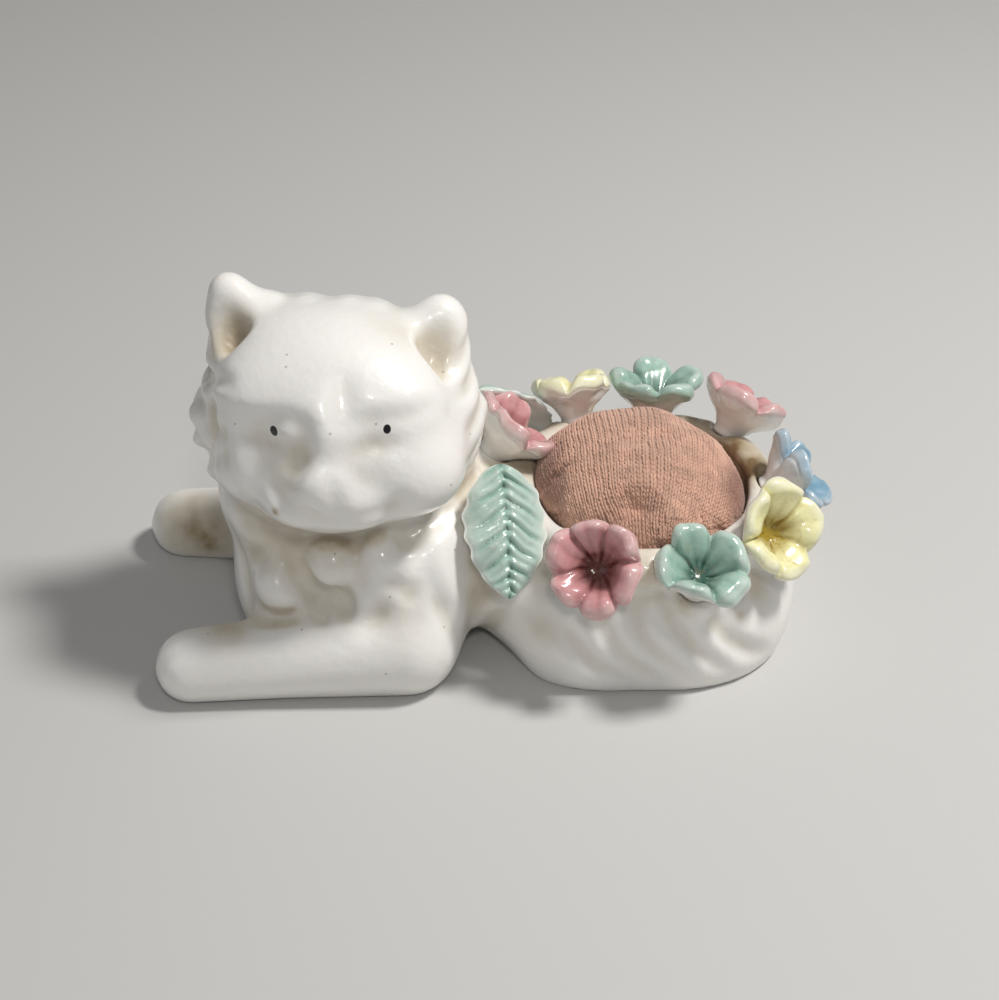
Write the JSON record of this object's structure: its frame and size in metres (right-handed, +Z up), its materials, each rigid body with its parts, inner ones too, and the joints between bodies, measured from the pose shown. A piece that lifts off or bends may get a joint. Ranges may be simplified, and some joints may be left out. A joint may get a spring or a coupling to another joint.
{
  "type": "cat pincushion",
  "caption": "Glazed white porcelain cat lying with its head turned, a knitted pincushion set in its back inside a wreath of pinched porcelain flowers and leaves.",
  "frame": {"origin": "on the flat underside, straight under the centre of the bowl that holds the pincushion", "axes": "+Z up; +X along the cat from its forelegs to its tail end; the face looks towards -Y"},
  "size_m": [0.1103, 0.0584, 0.0587],
  "materials": {
    "glazed_white": "clear gloss glaze over white porcelain, tan grime in the recesses",
    "knitted_cover": "dusty rose knitted stockinet over stuffing",
    "rose_glaze": "rose glaze inside, bare white outside",
    "sage_glaze": "sage green glaze, pooled darker in the folds",
    "lemon_glaze": "pale yellow glaze inside, white outside",
    "sky_glaze": "blue glaze inside, white outside"
  },
  "bodies": {
    "root": {"cat_body": "glazed_white", "pincushion_pad": "knitted_cover", "flower_pink_front": "rose_glaze", "flower_green_front": "sage_glaze", "flower_yellow_right": "lemon_glaze", "flower_blue_right": "sky_glaze", "flower_pink_back": "rose_glaze", "flower_green_back": "sage_glaze", "flower_yellow_back": "lemon_glaze", "flower_pink_left": "rose_glaze", "leaf_near": "sage_glaze", "leaf_far": "sage_glaze"}
  },
  "joints": []
}
